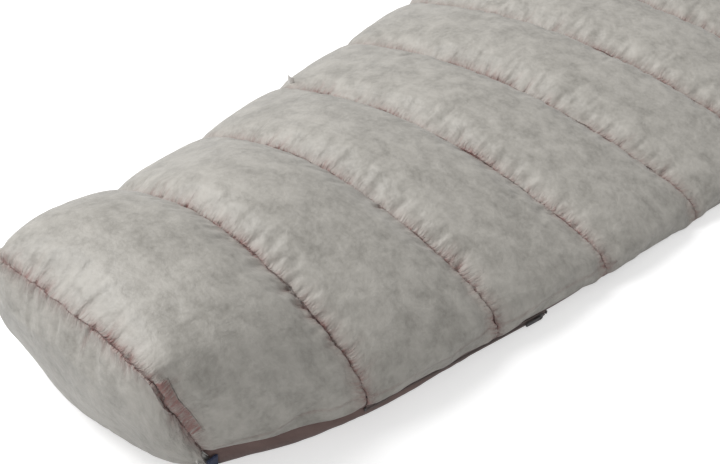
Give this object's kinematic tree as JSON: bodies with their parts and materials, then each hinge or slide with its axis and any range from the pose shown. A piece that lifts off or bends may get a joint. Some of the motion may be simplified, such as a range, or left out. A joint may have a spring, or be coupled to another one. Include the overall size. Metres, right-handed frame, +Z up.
{
  "type": "camp quilt",
  "caption": "Down camp quilt lying flat: puffed cross chambers, tapered closed foot pocket with a hidden side zip, drawcord at the head.",
  "frame": {"origin": "on the ground, under the middle of the whole quilt with its drawcord tail", "axes": "+Y from the foot end to the head end, +X towards the zipped side, +Z up"},
  "size_m": [0.7328, 2.075, 0.1719],
  "materials": {
    "shell_fabric": "thin downproof weave with a soft satin sheen, slightly see-through",
    "lining_fabric": "thin dusty pink weave",
    "down": "loose down clusters",
    "mesh": "fine mesh",
    "binding": "folded edge tape",
    "zip_tape": "woven tape",
    "zip_coil": "moulded coil",
    "zip_metal": "dark paint",
    "navy_webbing": "woven webbing",
    "label": "plain woven tab",
    "cord": "braided elastic cord",
    "lock_plastic": "moulded nylon",
    "spring_steel": "drawn wire"
  },
  "bodies": {
    "foot_half": {"shell_foot_half": "shell_fabric", "foot_end_shell": "shell_fabric", "floor_shell": "shell_fabric", "lining_foot_half": "lining_fabric", "foot_end_lining": "lining_fabric", "floor_lining": "lining_fabric", "down_chamber_01": "down", "down_chamber_02": "down", "down_chamber_03": "down", "down_chamber_04": "down", "down_chamber_05": "down", "down_chamber_06": "down", "down_chamber_07": "down", "floor_down_01": "down", "floor_down_02": "down", "floor_down_03": "down", "foot_end_down": "down", "baffle_wall_01": "mesh", "baffle_wall_02": "mesh", "baffle_wall_03": "mesh", "baffle_wall_04": "mesh", "baffle_wall_05": "mesh", "baffle_wall_06": "mesh", "floor_binding": "binding", "zip_tape_upper": "zip_tape", "zip_tape_lower": "zip_tape", "zip_coil_upper": "zip_coil", "zip_coil_lower": "zip_coil", "zip_stop_foot": "zip_metal", "zip_stop_head": "zip_metal", "hang_loop": "navy_webbing", "blank_label": "label"},
    "head_half": {"shell_head_half": "shell_fabric", "lining_head_half": "lining_fabric", "down_chamber_08": "down", "down_chamber_09": "down", "down_chamber_10": "down", "down_chamber_11": "down", "baffle_wall_07": "mesh", "baffle_wall_08": "mesh", "baffle_wall_09": "mesh", "baffle_wall_10": "mesh", "head_hem": "binding", "drawcord": "cord", "cord_end_bead": "lock_plastic"},
    "zip_slider": {"zip_slider": "zip_metal"},
    "zip_pull": {"zip_pull": "zip_metal"},
    "cord_lock": {"cord_lock_barrel": "lock_plastic", "cord_lock_spring": "spring_steel"},
    "cord_lock_button": {"cord_lock_button": "lock_plastic"}
  },
  "joints": [
    {"name": "head_fold", "type": "hinge", "parent": "foot_half", "child": "head_half", "pos_m": [0, 0.2185, 0.105], "axis": [1, 0, 0], "range_deg": [0, 180]},
    {"name": "zip_slide", "type": "slide", "parent": "foot_half", "child": "zip_slider", "axis": [-0.1984, -0.9794, 0.0388], "range_m": [0, 0.238]},
    {"name": "zip_pull_swing", "type": "hinge", "parent": "zip_slider", "child": "zip_pull", "pos_m": [0.26185, -0.58398, 0.00546], "axis": [0.0077, 0.038, 0.9992], "range_deg": [0, 150]},
    {"name": "cord_lock_slide", "type": "slide", "parent": "head_half", "child": "cord_lock", "axis": [0, 1, 0], "range_m": [-0.018, 0.056]},
    {"name": "cord_lock_press", "type": "slide", "parent": "cord_lock", "child": "cord_lock_button", "axis": [0, 0, -1], "range_m": [0, 0.003], "stiffness_N_per_m": 400, "springref_m": -0.002, "deforming": ["cord_lock_spring"]}
  ]
}
